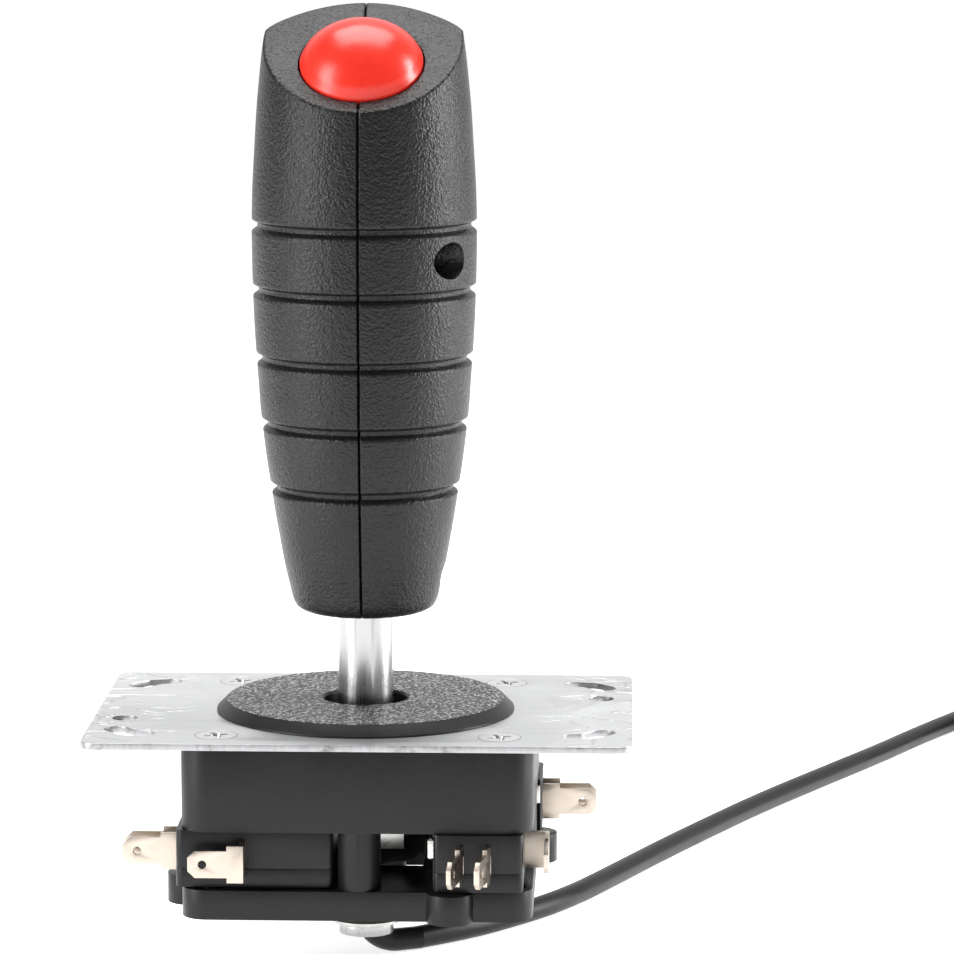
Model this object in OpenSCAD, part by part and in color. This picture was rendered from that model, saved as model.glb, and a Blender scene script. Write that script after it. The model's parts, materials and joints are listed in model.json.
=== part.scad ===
// Arcade style 8-way joystick with a flight grip and a thumb button.
// Origin: centre of the mounting plate's top face. +Z up, front is -Y.

/* [Mounting plate] */
// Plate length along X
plate_l = 97; // [90:0.5:110]
// Plate width along Y
plate_w = 65; // [64:0.5:80]
// Plate thickness
plate_t = 1.2; // [1:0.1:1.2]
// Plate corner radius
plate_r = 3; // [1:0.5:6]
// Width of the bent fixing slots
slot_w = 4.5; // [3:0.1:5]
// Radius of the two small fixing holes
fix_hole_r = 2.25; // [1.5:0.05:2.5]

/* [Dust disc] */
// Outer radius of the dust disc
disc_r = 27; // [24:0.5:29]
// Height of the dust disc above the plate
disc_h = 2.2; // [1.5:0.1:3]
// Radius of the opening round the shaft
disc_hole_r = 7.6; // [7.2:0.1:9]

/* [Housing] */
// Side of the square housing
housing_s = 62.2; // [60:0.1:64]
// Height of the housing under the plate
housing_h = 14.9; // [14.9:0.1:14.9]
// Housing corner radius
housing_r = 5; // [2:0.5:7]
// Side of the square base plate
base_s = 62; // [60:0.1:63]
// Thickness of the base plate
base_t = 5.3; // [4:0.1:6]
// Side of the square restrictor gate
gate_s = 21.8; // [21.6:0.1:24]

/* [Shaft and tilt] */
// Shaft outer radius
shaft_r = 5; // [5:0.1:5]
// Shaft bore radius
shaft_bore_r = 2.6; // [2.2:0.1:3]
// Tilt from upright at each limit, degrees
tilt_deg = 7.5; // [5:0.5:7.5]
// Height of the tilt axis
pivot_z = -8; // [-8:0.5:-8]

/* [Grip] */
// Depth of the finger grooves
groove_d = 1.0; // [0.5:0.1:1.4]
// Slope of the thumb facet, degrees
facet_deg = 34.2; // [30:0.1:38]
// Gap at the seam between the two halves, each side
seam_gap = 0.05; // [0.02:0.01:0.1]
// Radius of the thumb button's dome
button_r = 10.9; // [10:0.1:11.8]
// Height of the thumb button's dome
button_h = 6.6; // [3:0.1:7]

/* [Lead] */
// Lead outer diameter
lead_d = 4.2; // [4:0.1:4.4]

/* [Hidden] */
$fn = 48;
e = 0.01;
house_top = -plate_t;
house_bot = house_top - housing_h;
sw_z1 = house_bot; sw_z0 = house_bot - 10.3; sw_mid = (sw_z0 + sw_z1) / 2;
sw_split = -23;
base_top = sw_z0 - 0.2; base_bot = base_top - base_t;
sw_x0 = -31.9; sw_x1 = -4.1; sw_y0 = -29.4; sw_y1 = -13.5;
lever_px = -31; lever_py = -13.15; lever_rest = 2.75;
plunger_x = lever_px + 20.3;
tab_y = [-23.4, -18.6]; bend_deg = 11;
bp = [0.4, -27.3];
shaft_bot = -41.55; shaft_top = 66;
btn_y = -7.2;
facet_z0 = 122.4;
btn_z = facet_z0 + btn_y * tan(facet_deg);
lead_r = lead_d / 2;
lead_z = -43.85;
coil_c = [157.8, 213.0];
coil_in = 19.3; coil_out = 27.7; coil_h = 8.6;
tail_a = -40;
tail_d = [-0.643, -0.766, 0];

// ---------- shared shapes ----------
module rr(l, w, r) {
    square([l - 2 * r, w], center = true);
    square([l, w - 2 * r], center = true);
    for (x = [-1, 1], y = [-1, 1]) translate([x * (l / 2 - r), y * (w / 2 - r)]) circle(r);
}
// a slot of width w that runs from a to c and bends at b
module bent_slot(a, b, c, w) {
    t1 = atan2(b[1] - a[1], b[0] - a[0]); t2 = atan2(c[1] - b[1], c[0] - b[0]);
    tm = (t1 + t2) / 2; m = w / 2 / cos((t2 - t1) / 2); h = w / 2;
    polygon(concat(
        [for (k = [-90:15:90]) c + h * [cos(t2 + k), sin(t2 + k)]],
        [b + m * [cos(tm + 90), sin(tm + 90)]],
        [for (k = [90:15:270]) a + h * [cos(t1 + k), sin(t1 + k)]],
        [b + m * [cos(tm - 90), sin(tm - 90)]]));
}
module four() for (k = [0:3]) rotate([0, 0, 90 * k]) children();
module in_facet() translate([0, btn_y, btn_z]) rotate([facet_deg, 0, 0]) children();

function unit(v) = v / norm(v);
// one ring of a sweep: centre p, tangent t, reference vector q
function ring(p, t, q, r, n) = let (s = unit(cross(q, t)), u = cross(unit(t), s))
    [for (i = [0:n - 1]) p + r * (cos(360 * i / n) * s + sin(360 * i / n) * u)];
function tang(path, i) = unit(path[min(i + 1, len(path) - 1)] - path[max(i - 1, 0)]);
function flat(v) = [for (a = v) for (b = a) b];
// a tube of n sides along a path; q is a reference vector never parallel to it
module tube(path, r, n, q) {
    m = len(path);
    pts = flat([for (i = [0:m - 1]) ring(path[i], tang(path, i), q, r, n)]);
    sides = flat([for (i = [0:m - 2]) flat([for (j = [0:n - 1]) let (a = i * n + j, b = i * n + (j + 1) % n)
        [[a, a + n, b], [b, a + n, b + n]]])]);
    caps = [[for (j = [0:n - 1]) j], [for (j = [n - 1:-1:0]) (m - 1) * n + j]];
    polyhedron(points = pts, faces = concat(sides, caps), convexity = 6);
}
function cr(a, b, c, d, t) = 0.5 * ((2 * b) + (c - a) * t + (2 * a - 5 * b + 4 * c - d) * t * t + (3 * b - a - 3 * c + d) * t * t * t);
// a smooth curve through the points, k steps between each two
function spline(p, k) = let (n = len(p)) [for (i = [0:n - 2]) for (j = [0:(i == n - 2 ? k : k - 1)])
    cr(p[max(i - 1, 0)], p[i], p[i + 1], p[min(i + 2, n - 1)], j / k)];
function helix(r, z0, z1, turns, n) = [for (i = [0:turns * n]) [r * cos(360 * i / n), r * sin(360 * i / n), z0 + (z1 - z0) * i / (turns * n)]];

// ---------- plate, disc and their screws ----------
module mounting_plate() {
    color([0.80, 0.81, 0.82]) difference() {
        translate([0, 0, -plate_t]) linear_extrude(plate_t) difference() {
            rr(plate_l, plate_w, plate_r);
            circle(13);
            for (x = [-1, 1], y = [-1, 1]) scale([x, y]) bent_slot([38.2, 23.6], [40.8, 22.9], [43.2, 19.9], slot_w);
            for (s = [-1, 1]) translate([s * 42.8, s * 10.3]) circle(fix_hole_r);
            for (x = [-25, 25], y = [-24.5, 24.5]) translate([x, y]) circle(2.2);
        }
        for (x = [-25, 25], y = [-24.5, 24.5]) translate([x, y, -1.0]) cylinder(r1 = 2.2, r2 = 3.85, h = 1.02);
    }
}
module dust_disc() {
    color([0.16, 0.16, 0.17]) rotate_extrude($fn = 96) polygon([[disc_hole_r, -1.15], [12.95, -1.15], [12.95, 0], [disc_r, 0],
        [disc_r, 0.35], [disc_r - 1.9, disc_h], [disc_hole_r + 0.4, disc_h], [disc_hole_r, disc_h - 0.4]]);
}
module plate_screws() {
    color([0.78, 0.78, 0.76]) for (x = [-25, 25], y = [-24.5, 24.5]) translate([x, y, 0]) difference() {
        union() {
            translate([0, 0, -1.0]) cylinder(r1 = 2.15, r2 = 3.7, h = 0.98);
            translate([0, 0, -11]) cylinder(r = 1.9, h = 10.2);
            translate([0, 0, -12]) cylinder(r1 = 0.9, r2 = 1.9, h = 1.01);
        }
        for (a = [25, 115]) rotate([0, 0, a]) translate([-2.2, -0.4, -1.2]) cube([4.4, 0.8, 2]);
        translate([0, 0, -1.6]) cylinder(r1 = 0.4, r2 = 1, h = 1.7);
    }
}

// ---------- housing and base ----------
module upper_housing() {
    color([0.15, 0.15, 0.155]) difference() {
        union() {
            difference() {
                translate([0, 0, house_bot]) linear_extrude(housing_h) rr(housing_s, housing_s, housing_r);
                translate([0, 0, house_bot + 3]) linear_extrude(housing_h) rr(housing_s - 5, housing_s - 5, 2.6);
            }
            // bosses for the plate screws
            for (x = [-25, 25], y = [-24.5, 24.5]) translate([x, y, house_bot]) cylinder(r = 4.6, h = housing_h);
            // walls that carry the trunnion seats, with a rib to each side wall
            for (s = [-1, 1]) translate([s * 12.6 - 2.2, -8, house_bot]) cube([4.4, 16, housing_h]);
            for (s = [-1, 1]) translate([s > 0 ? 14 : -30, -1.2, house_bot]) cube([16, 2.4, 9]);
            for (s = [-1, 1]) translate([-1.2, s > 0 ? 14 : -30, house_bot]) cube([2.4, 16, 6]);
            // hanging posts, one in the middle of each side
            four() translate([bp[0], bp[1], base_top]) cylinder(r = 3.8, h = house_bot - base_top + 1);
        }
        // window for the shaft, seat of the ball
        translate([0, 0, house_bot - 1]) cylinder(r = 8.2, h = 5);
        // U seats for the trunnions, open towards the plate
        for (s = [-1, 1]) {
            translate([s * 12.6 - 3, 0, pivot_z]) rotate([0, 90, 0]) cylinder(r = 3.05, h = 6);
            translate([s * 12.6 - 3, -3.05, pivot_z]) cube([6, 6.1, 20]);
        }
        for (x = [-25, 25], y = [-24.5, 24.5]) translate([x, y, -13.2]) cylinder(r = 1.95, h = 20);
        four() translate([bp[0], bp[1], base_top - 1]) cylinder(r = 1.55, h = 10);
    }
}
// the two fixing pins of one microswitch
sw_pins = [[sw_x1 - 2.9, sw_y0 + 2.8], [sw_x1 - 25.1, sw_y0 + 13.1]];
module base_plate() {
    color([0.14, 0.14, 0.145]) difference() {
        union() {
            translate([0, 0, base_bot]) linear_extrude(base_t) rr(base_s, base_s, 4.5);
            four() translate([16.5, -30.5, base_bot]) cylinder(r = 4.15, h = base_t);
            four() for (p = sw_pins) translate([p[0], p[1], base_top - 1]) cylinder(r = 1.5, h = 7.2);
        }
        translate([-gate_s / 2, -gate_s / 2, base_bot - 1]) cube([gate_s, gate_s, base_t + 2]);
        // recesses beside each switch and screw clearances
        four() translate([-26, -26.2, base_top - 1.6]) difference() { cylinder(r = 3.6, h = 3); translate([0, 0, -1]) cylinder(r = 2.2, h = 3); }
        four() translate([bp[0], bp[1], base_bot - 1]) cylinder(r = 1.7, h = base_t + 2);
        four() translate([bp[0], bp[1], base_bot - 1]) cylinder(r = 3.0, h = 3.2);
        four() translate([16.5, -30.5, base_bot - 1]) cylinder(r = 2.2, h = 4);
    }
}
module base_screws() {
    color([0.75, 0.75, 0.74]) four() translate([bp[0], bp[1], 0]) difference() {
        union() {
            translate([0, 0, base_bot + 0.1]) cylinder(r = 2.8, h = 2.0);
            translate([0, 0, base_bot + 1.9]) cylinder(r = 1.5, h = 10);
        }
        for (a = [0, 90]) rotate([0, 0, a]) translate([-1.7, -0.35, base_bot - 1]) cube([3.4, 0.7, 2.2]);
    }
}

// ---------- lower microswitches ----------
module switch_outline() {
    difference() {
        translate([(sw_x0 + sw_x1) / 2, (sw_y0 + sw_y1) / 2]) rr(sw_x1 - sw_x0, sw_y1 - sw_y0, 1.3);
        for (p = sw_pins) translate(p) circle(1.55);
        translate([lever_px, lever_py]) circle(0.85);
    }
}
module switch_hollow(z0, h) translate([-27, -28.2, z0]) cube([17.2, 13.4, h]);
module switch_cases() {
    color([0.17, 0.17, 0.175]) four() difference() {
        translate([0, 0, sw_split + 0.02]) linear_extrude(sw_z1 - sw_split - 0.05) switch_outline();
        switch_hollow(sw_split - 1, 5.6);
        // slots for the terminals and the plunger
        for (y = tab_y) translate([sw_x0 - 1, y - 0.42, sw_split - 1]) cube([6.5, 0.84, 4.4]);
        translate([-20.42, sw_y0 - 1, sw_split - 1]) cube([0.84, 4, 4.4]);
        translate([plunger_x - 1.6, -18.8, sw_split - 1]) cube([3.2, 6.3, 3.1]);
    }
}
module switch_covers() {
    color([0.15, 0.15, 0.155]) four() difference() {
        translate([0, 0, sw_z0 + 0.03]) linear_extrude(sw_split - sw_z0 - 0.05) switch_outline();
        switch_hollow(sw_z0 + 1.2, 5);
        translate([plunger_x - 1.6, -18.8, sw_split - 0.2]) cube([3.2, 6.3, 1]);
    }
}
// a quick-connect tab lying along -X from x = 0, blade in the XZ plane
module tab(shoulder, reach) {
    translate([0, 0, -0]) rotate([90, 0, 0]) linear_extrude(0.8, center = true) difference() {
        union() {
            translate([-shoulder, -3.3]) square([shoulder, 6.6]);
            polygon([[-shoulder, -2.4], [-reach + 1.3, -2.4], [-reach, -1.2], [-reach, 1.2], [-reach + 1.3, 2.4], [-shoulder, 2.4]]);
        }
        translate([-reach + 2.6, 0]) circle(0.75);
    }
}
module switch_terminals() {
    color([0.82, 0.77, 0.70]) for (k = [0:3]) rotate([0, 0, 90 * k]) {
        // the end tabs of the right-hand switch are bent a little to one side
        for (y = tab_y) {
            translate([sw_x0 - 0.02, y, sw_mid]) rotate([0, 0, k == 1 ? -bend_deg : 0]) tab(3.2, 10);
            translate([sw_x0 - 0.35, y - 0.4, sw_split + 0.1]) cube([5.3, 0.8, 3.2]);
        }
        // common terminal: a leg out of the front face, turned through a right angle
        translate([-20.4, sw_y0 - 3.6, sw_mid - 3.3]) cube([0.8, 3.58, 6.6]);
        translate([-20.4, sw_y0 - 0.1, sw_split + 0.1]) cube([0.8, 3, 3.2]);
        translate([-19.6, sw_y0 - 3.6 - 0.4, sw_mid]) tab(2.9, 9.8);
    }
}
module snap_blades() {
    color([0.80, 0.62, 0.35]) four() {
        translate([-26.4, -19.6, sw_split + 0.6]) cube([16.2, 0.3, 2.4]);
        translate([-26.0, -19.3, sw_split + 1.8]) rotate([-90, 0, 0]) cylinder(r = 0.8, h = 0.5);
        translate([-26.0, -20.1, sw_split + 1.8]) rotate([-90, 0, 0]) cylinder(r = 0.8, h = 0.5);
    }
}
module lever(k) {
    color([0.78, 0.78, 0.77]) rotate([0, 0, 90 * k]) translate([lever_px, lever_py, 0]) {
        rotate([0, 0, lever_rest]) {
            // narrow and high at the hinge, stepping down to the actuator
            rotate([90, 0, 0]) linear_extrude(0.4, center = true)
                polygon([[0, -20.5], [7, -20.5], [11, -23.4], [38.5, -23.4], [38.5, -19.1], [14, -19.1], [10.5, -16.9], [0, -16.9]]);
            translate([-0.5, -0.5, -20.3]) cube([1, 1, 3.2]);
        }
    }
}
module lever_front() lever(0);
module lever_right() lever(1);
module lever_back() lever(2);
module lever_left() lever(3);
module plunger(k) {
    color([0.75, 0.12, 0.10]) rotate([0, 0, 90 * k]) translate([plunger_x - 1.5, -17.4, sw_split - 0.1]) cube([3, 4.88, 2.1]);
}
module plunger_front() plunger(0);
module plunger_right() plunger(1);
module plunger_back() plunger(2);
module plunger_left() plunger(3);

// ---------- pivot, shaft and actuator ----------
module pivot_ball() {
    color([0.88, 0.87, 0.82]) translate([0, 0, pivot_z]) difference() {
        union() {
            intersection() { sphere(r = 9.2); cube([30, 30, 9], center = true); }
            rotate([0, 90, 0]) cylinder(r = 3, h = 28.4, center = true);
        }
        // oval window: the shaft rocks along X inside it
        translate([0, 0, -8]) linear_extrude(16) { for (s = [-1, 1]) translate([s * 1.0, 0]) circle(5.25); square([2, 10.5], center = true); }
        rotate([90, 0, 0]) cylinder(r = 1.55, h = 30, center = true);
    }
}
module pivot_pins() {
    color([0.7, 0.7, 0.7]) for (s = [-1, 1]) translate([0, s > 0 ? 3.0 : -9.0, pivot_z]) rotate([-90, 0, 0]) cylinder(r = 1.5, h = 6.0);
}
module shaft() {
    color([0.72, 0.72, 0.72]) difference() {
        translate([0, 0, shaft_bot]) cylinder(r = shaft_r, h = shaft_top - shaft_bot);
        translate([0, 0, shaft_bot - 1]) cylinder(r = shaft_bore_r, h = shaft_top - shaft_bot + 2);
        translate([0, 0, shaft_bot]) cylinder(r1 = 4.65, r2 = shaft_bore_r, h = 4.1);
        translate([0, 0, shaft_bot - 1]) cylinder(r = 4.65, h = 1 + e);
        rotate([90, 0, 0]) translate([0, pivot_z, 0]) cylinder(r = 1.5, h = 20, center = true);
        translate([0, 0, -39.55]) difference() { cylinder(r = 7, h = 0.9); translate([0, 0, -1]) cylinder(r = 4.05, h = 4); }
    }
}
module spring_seat() {
    color([0.88, 0.87, 0.82]) translate([0, 0, house_bot - 1]) difference() {
        cylinder(r = 9.4, h = 0.98);
        translate([0, 0, -1]) cylinder(r = 6.95, h = 4);
    }
}
module centring_spring() {
    color([0.6, 0.6, 0.6]) tube(helix(7.6, house_bot - 1.7, -24.4, 4, 18), 0.6, 6, [0, 0, 1]);
}
module actuator() {
    color([0.12, 0.12, 0.125]) difference() {
        rotate_extrude($fn = 72) polygon([[5.02, -37.9], [7.3, -37.9], [7.3, -26.8], [10.43, -26.8], [11.25, -20.5], [11.1, -19.4], [10.8, -19.0],
            [9.2, -19.0], [9.2, -25.05], [5.02, -25.05]]);
    }
}
module end_washer() {
    color([0.12, 0.12, 0.12]) translate([0, 0, -38.62]) difference() {
        cylinder(r = 7.2, h = 0.7);
        translate([0, 0, -1]) cylinder(r = 5.05, h = 4);
    }
}
module e_clip() {
    color([0.7, 0.7, 0.7]) translate([0, 0, -39.5]) linear_extrude(0.8) difference() {
        circle(6.1);
        circle(4.1);
        translate([0, 3]) square([5.2, 20], center = false);
        translate([-5.2, 3]) square([5.3, 20], center = false);
    }
}

// ---------- grip ----------
grip_outer = [[18.4, 10.6], [18.7, 11.7], [19.4, 12.5], [20.6, 13.1], [22.6, 13.6], [27, 14.6], [32, 15.5], [37, 16.35], [42, 17.1], [47.5, 17.9],
    [55, 18.75], [60, 19.1], [65, 19.45], [70, 19.75], [75, 19.95], [80, 20.1], [85.5, 20.18], [90, 20.15], [94, 20.05],
    [98, 19.85], [102.5, 19.58], [107, 19.3], [111, 19.0], [117.5, 18.35], [121, 17.9], [122.7, 17.65]];
dome = [[123.2, 17.2], [124.1, 15.7], [125.3, 13.2], [126.4, 10.5], [127.4, 7.6], [128.1, 4.6], [128.5, 0]];
grooves = [88.4, 76.9, 64.6, 52.8, 41.2];
function grip_r(z) = lookup(z, grip_outer);
module grip_form() {
    difference() {
        rotate_extrude($fn = 96) polygon(concat([[0, 18.4]], [for (p = grip_outer) [p[1], p[0]]], [for (p = dome) [p[1], p[0]]]));
        for (z = grooves) rotate_extrude($fn = 96) let (r = grip_r(z))
            polygon([[r + 1.5, z + 1.0], [r + 0.02, z + 1.0], [r - 0.35, z + 0.75], [r - groove_d + 0.15, z + 0.55], [r - groove_d, z + 0.2], [r - groove_d, z - 0.4], [r - 0.4, z - 1.0], [r + 0.02, z - 1.3], [r + 1.5, z - 1.3]]);
        // thumb facet
        in_facet() translate([-40, -60, 0]) cube([80, 100, 40]);
    }
}
bosses = [[-12, 82.9], [11.5, 89.5], [11, 45]];
module grip_hollow() {
    difference() {
        rotate_extrude($fn = 64) polygon([[0, 21.2], [10.6, 21.2], [11.9, 27], [13.6, 37], [15.2, 48], [16.4, 60], [17.0, 72], [17.2, 86], [16.9, 98], [16.2, 108], [15.2, 117], [14.6, 121.4], [9, 123.8], [0, 125.2]]);
        in_facet() translate([-40, -60, -3.5]) cube([80, 100, 60]);
        // cross ribs that hold the shaft
        for (z = [31, 45, 58]) translate([-20, -20, z]) cube([40, 40, 2.2]);
        // screw bosses
        for (b = bosses) translate([-20, b[0], b[1]]) rotate([0, 90, 0]) cylinder(r = 4.5, h = 40);
        // boss of the clamp screw
        translate([5.02, 0, 24.6]) rotate([0, 90, 0]) cylinder(r = 3.6, h = 20);
        // pegs that locate the grip switch, and the ledge under the button spring
        in_facet() for (y = [-5, 5]) translate([-20, y, -17.5]) rotate([0, 90, 0]) cylinder(r = 2.2, h = 40);
        in_facet() translate([0, 0, -11.9]) difference() { cylinder(r = 20, h = 1.2); translate([0, 0, -1]) cylinder(r = 7.4, h = 4); }
    }
}
module grip_half(s) {
    difference() {
        intersection() {
            grip_form();
            translate([s > 0 ? seam_gap : -60 - seam_gap, -40, 0]) cube([60, 80, 160]);
        }
        grip_hollow();
        translate([0, 0, 10]) cylinder(r = 5.02, h = shaft_top - 10 + 0.5);
        // button shaft and the chamber of its flange
        in_facet() translate([0, 0, -5]) cylinder(r = button_r + 0.25, h = 20);
        in_facet() translate([0, 0, -10.7]) cylinder(r = 13.3, h = 7.2);
        // seat of the grip switch
        in_facet() difference() {
            translate([-3.25, -10.1, -22.4]) cube([6.5, 20.2, 10.5]);
            for (y = [-5, 5]) translate([-20, y, -17.5]) rotate([0, 90, 0]) cylinder(r = 2.1, h = 40);
        }
        if (s > 0) {
            for (b = bosses) translate([0, b[0], b[1]]) rotate([0, 90, 0]) { translate([0, 0, -1]) cylinder(r = 1.65, h = 30); translate([0, 0, 6.5]) cylinder(r = 3.3, h = 30); }
            translate([0, 0, 24.6]) rotate([0, 90, 0]) { translate([0, 0, 4]) cylinder(r = 2.02, h = 30); translate([0, 0, 10.2]) cylinder(r = 2.9, h = 30); }
        } else {
            for (b = bosses) translate([-9, b[0], b[1]]) rotate([0, 90, 0]) cylinder(r = 1.42, h = 12);
        }
    }
}
module grip_left() color([0.19, 0.19, 0.20]) grip_half(-1);
module grip_right() color([0.20, 0.20, 0.21]) grip_half(1);
module grip_screws() {
    color([0.3, 0.3, 0.3]) for (b = bosses) translate([0, b[0], b[1]]) rotate([0, 90, 0]) difference() {
        union() {
            translate([0, 0, 6.5]) cylinder(r = 2.9, h = 2.0);
            translate([0, 0, -7.5]) cylinder(r = 1.4, h = 14.2);
        }
        for (a = [20, 110]) rotate([0, 0, a]) translate([-1.7, -0.35, 7.3]) cube([3.4, 0.7, 2]);
    }
}
module clamp_screw() {
    color([0.25, 0.25, 0.26]) translate([5.0, 0, 24.6]) rotate([0, 90, 0]) difference() {
        cylinder(r = 2.0, h = 5);
        translate([0, 0, 3.4]) cylinder(r = 1.15, h = 4, $fn = 6);
    }
}

// ---------- thumb button ----------
module fire_button() {
    color([0.92, 0.16, 0.10]) in_facet() rotate_extrude($fn = 96) polygon([[0, -9.6], [2.4, -9.6], [2.4, -2.6], [10.2, -2.6], [10.2, -4.6], [12.9, -4.6], [12.9, -3.6], [button_r, -3.6],
        [button_r, 0.3], [button_r - 0.35, 0.95], [button_r * 0.90, 0.34 * button_h], [button_r * 0.78, 0.54 * button_h], [button_r * 0.62, 0.73 * button_h], [button_r * 0.44, 0.87 * button_h], [button_r * 0.23, 0.965 * button_h], [0, button_h]]);
}
module button_spring() {
    color([0.6, 0.6, 0.6]) in_facet() tube(helix(10.6, -10.35, -4.95, 3.5, 16), 0.3, 5, [0, 0, 1]);
}
module grip_switch() {
    color([0.13, 0.13, 0.135]) in_facet() difference() {
        translate([-3.2, -9.9, -22.2]) cube([6.4, 19.8, 10.2]);
        for (y = [-5, 5]) translate([-5, y, -17.5]) rotate([0, 90, 0]) cylinder(r = 2.2, h = 10);
        translate([-2.2, -1.7, -15.4]) cube([4.4, 3.4, 4]);
    }
}
module grip_switch_plunger() {
    color([0.75, 0.12, 0.10]) in_facet() translate([-1.5, -1.5, -13.0]) cube([3, 3, 3.2]);
}
module grip_switch_tabs() {
    color([0.80, 0.76, 0.70]) in_facet() for (y = [-8, 0, 8]) translate([-1.3, y - 0.25, -26.0]) cube([2.6, 0.5, 3.79]);
}
module grip_wires() {
    // two cores from the lead up to the outer tabs
    a = [[-1.0, 0, 70.5], [-1.4, 0.2, 76], [-1.5, 0, 84], [-0.9, -0.8, 91], [-0.9, 0.9, 95.2]];
    b = [[1.0, 0, 70.5], [1.6, 0.2, 77], [1.7, 2.0, 86], [1.2, 8, 94], [0.9, 13.6, 98.6]];
    color([0.75, 0.15, 0.12]) tube(spline([for (p = a) [p[0], p[1], p[2]]], 4), 0.6, 6, [1, 0, 0]);
    color([0.15, 0.15, 0.15]) tube(spline(b, 4), 0.6, 6, [1, 0, 0]);
}

// ---------- lead ----------
la = 24;
function exit_pt(r, z) = [r * cos(la), r * sin(la), z];
bend_r = 6.5;
exit_path = concat([exit_pt(-0.45, -35)], [for (a = [0:15:90]) exit_pt(-0.45 + bend_r * (1 - cos(a)), lead_z + bend_r * (1 - sin(a)))], [exit_pt(9.85, lead_z)]);
lead_route = [[9, 4], [20, 13.5], [31, 27], [38, 38.5], [44, 51], [54, 73], [65, 96], [76, 118], [88, 140], [103, 167], [113, 186], [123, 204], [135.6, 225.8]];
module lead_inner() {
    color([0.1, 0.1, 0.1]) translate(exit_pt(-0.45, -35)) cylinder(r = lead_r, h = 105);
}
module lead_exit() color([0.1, 0.1, 0.1]) tube(exit_path, lead_r, 12, [cos(la), sin(la), 1]);
module lead() color([0.1, 0.1, 0.1]) {
    tube(spline([for (p = lead_route) [p[0], p[1], lead_z]], 3), lead_r, 8, [0, 0, 1]);
    along_tail(-2) cylinder(r = lead_r, h = 16);
}
function tail_x(s) = coil_c[0] + 27.5 * cos(tail_a) + (12 + s) * tail_d[0];
function tail_y(s) = coil_c[1] + 27.5 * sin(tail_a) + (12 + s) * tail_d[1];
module lead_coil() {
    color([0.1, 0.1, 0.1]) translate([coil_c[0], coil_c[1], lead_z - lead_r]) rotate_extrude($fn = 64)
        polygon([[coil_in, 1], [coil_in + 1, 0], [coil_out - 1, 0], [coil_out, 1], [coil_out, coil_h - 1], [coil_out - 1, coil_h], [coil_in + 1, coil_h], [coil_in, coil_h - 1]]);
}
module along_tail(s) translate([tail_x(s), tail_y(s), lead_z]) multmatrix([[0, tail_d[1], tail_d[0], 0], [0, -tail_d[0], tail_d[1], 0], [1, 0, 0, 0], [0, 0, 0, 1]]) children();
module lead_tie() {
    color([0.12, 0.12, 0.12]) translate([coil_c[0], coil_c[1], lead_z - lead_r]) rotate([0, 0, 60]) translate([(coil_in + coil_out) / 2, 0, coil_h / 2]) rotate([90, 0, 0]) linear_extrude(5, center = true) difference() {
        rr(8.4 + 2, coil_h + 0.9, 1.2);
        square([8.44, coil_h + 0.04], center = true);
        translate([-10, -coil_h / 2 - 3]) square([20, 3]);
    }
}
module lead_sleeve() color([0.08, 0.08, 0.08]) along_tail(12) difference() { cylinder(r = 2.6, h = 9); translate([0, 0, -1]) cylinder(r = lead_r + 0.02, h = 3.0); }
module lead_wires() {
    color([0.75, 0.15, 0.12]) along_tail(20.9) tube([for (t = [0:2:12]) [-1.2, -1 - 2.6 * (1 - cos(t * 15)) / 2, t]], 0.8, 6, [1, 0, 0]);
    color([0.15, 0.15, 0.15]) along_tail(20.9) tube([for (t = [0:2:12]) [-1.2, 1 + 2.6 * (1 - cos(t * 15)) / 2, t]], 0.8, 6, [1, 0, 0]);
}
module spade_connectors() {
    color([0.7, 0.7, 0.68]) along_tail(32.9) for (s = [-1, 1]) translate([-2.1, s * 3.6, 0]) {
        // insulated barrel, then the flat receptacle with rolled sides
        translate([1.0, 0, 0]) cylinder(r = 1.15, h = 6);
        translate([0.2, -2.9, 5.6]) cube([0.7, 5.8, 8.5]);
        for (t = [-1, 1]) translate([0.9, t * 2.3 - 0.7, 6]) cube([0.9, 1.4, 8.1]);
    }
}

mounting_plate();
dust_disc();
plate_screws();
upper_housing();
base_plate();
base_screws();
switch_cases();
switch_covers();
switch_terminals();
snap_blades();
lever_front();
lever_right();
lever_back();
lever_left();
plunger_front();
plunger_right();
plunger_back();
plunger_left();
pivot_ball();
pivot_pins();
shaft();
spring_seat();
centring_spring();
actuator();
end_washer();
e_clip();
grip_left();
grip_right();
grip_screws();
clamp_screw();
fire_button();
button_spring();
grip_switch();
grip_switch_plunger();
grip_switch_tabs();
grip_wires();
lead_inner();
lead_exit();
lead();
lead_coil();
lead_tie();
lead_sleeve();
lead_wires();
spade_connectors();
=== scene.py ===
import bpy, bmesh, json, math
import numpy as np
from mathutils import Matrix, Vector

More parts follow.
